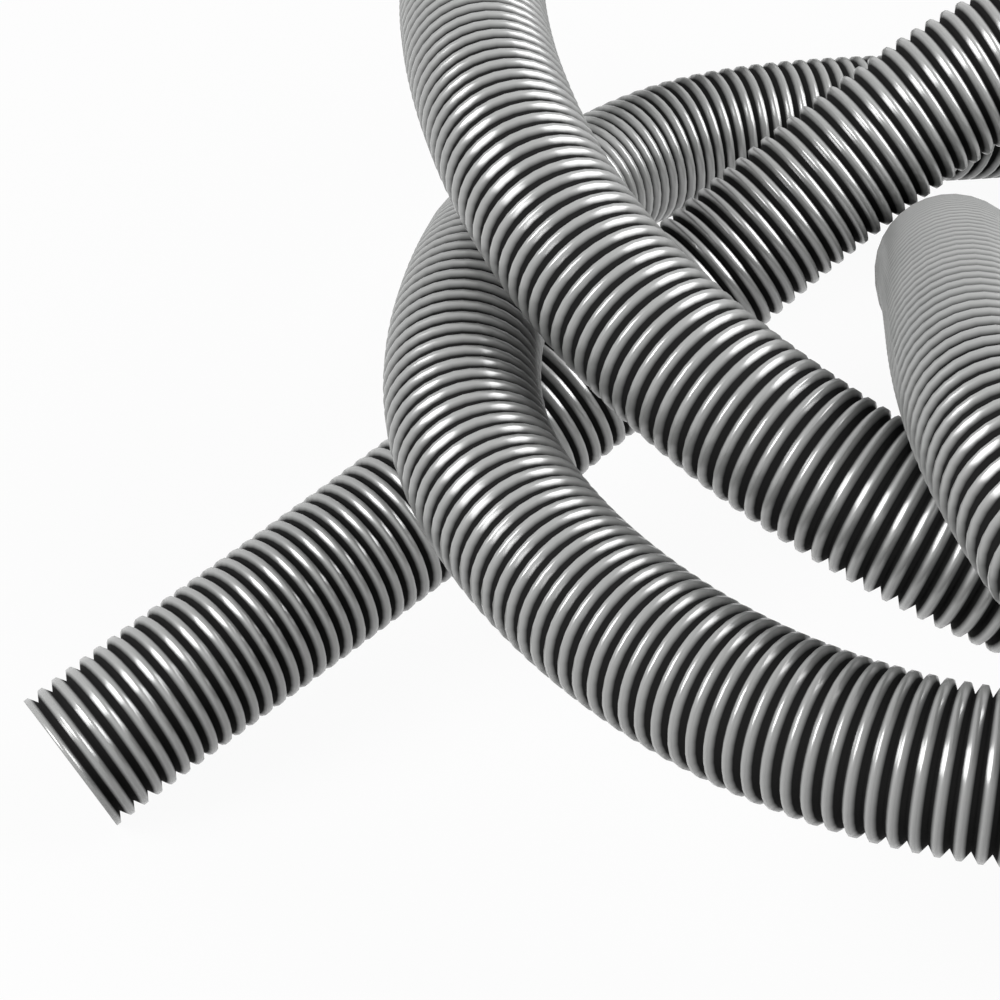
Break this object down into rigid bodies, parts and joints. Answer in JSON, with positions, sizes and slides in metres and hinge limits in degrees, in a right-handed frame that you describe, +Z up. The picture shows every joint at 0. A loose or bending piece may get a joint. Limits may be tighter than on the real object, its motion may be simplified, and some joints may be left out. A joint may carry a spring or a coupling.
{
  "type": "vacuum hose",
  "caption": "Ribbed flexible vacuum hose lying in loose overlapping loops, with a bare cut end and a swivel cuff that takes a tool spigot.",
  "frame": {"origin": "on the floor under the middle of the loops' bounding box", "axes": "+Z up, -Y towards the viewer who sees the bare end at the lower left, +X to the viewer's right"},
  "size_m": [0.5402, 0.5786, 0.1707],
  "materials": {
    "hose_plastic": "semi-gloss ribbed",
    "collar_plastic": "satin",
    "cuff_plastic": "satin",
    "grip_rubber": "matte",
    "seal_rubber": "matte",
    "washer_plastic": "slippery",
    "ring_steel": "spring steel"
  },
  "bodies": {
    "hose_line": {"hose": "hose_plastic", "threaded_collar": "collar_plastic", "seal_ring": "seal_rubber", "slip_washer": "washer_plastic"},
    "cuff": {"swivel_cuff": "cuff_plastic", "retaining_ring": "ring_steel", "cuff_grip": "grip_rubber", "cuff_o_ring": "seal_rubber"}
  },
  "joints": [
    {"name": "cuff_swivel", "type": "hinge", "parent": "hose_line", "child": "cuff", "pos_m": [0.19, 0.172, 0.058], "axis": [0.9333, 0.2638, 0.2435], "continuous": true}
  ]
}
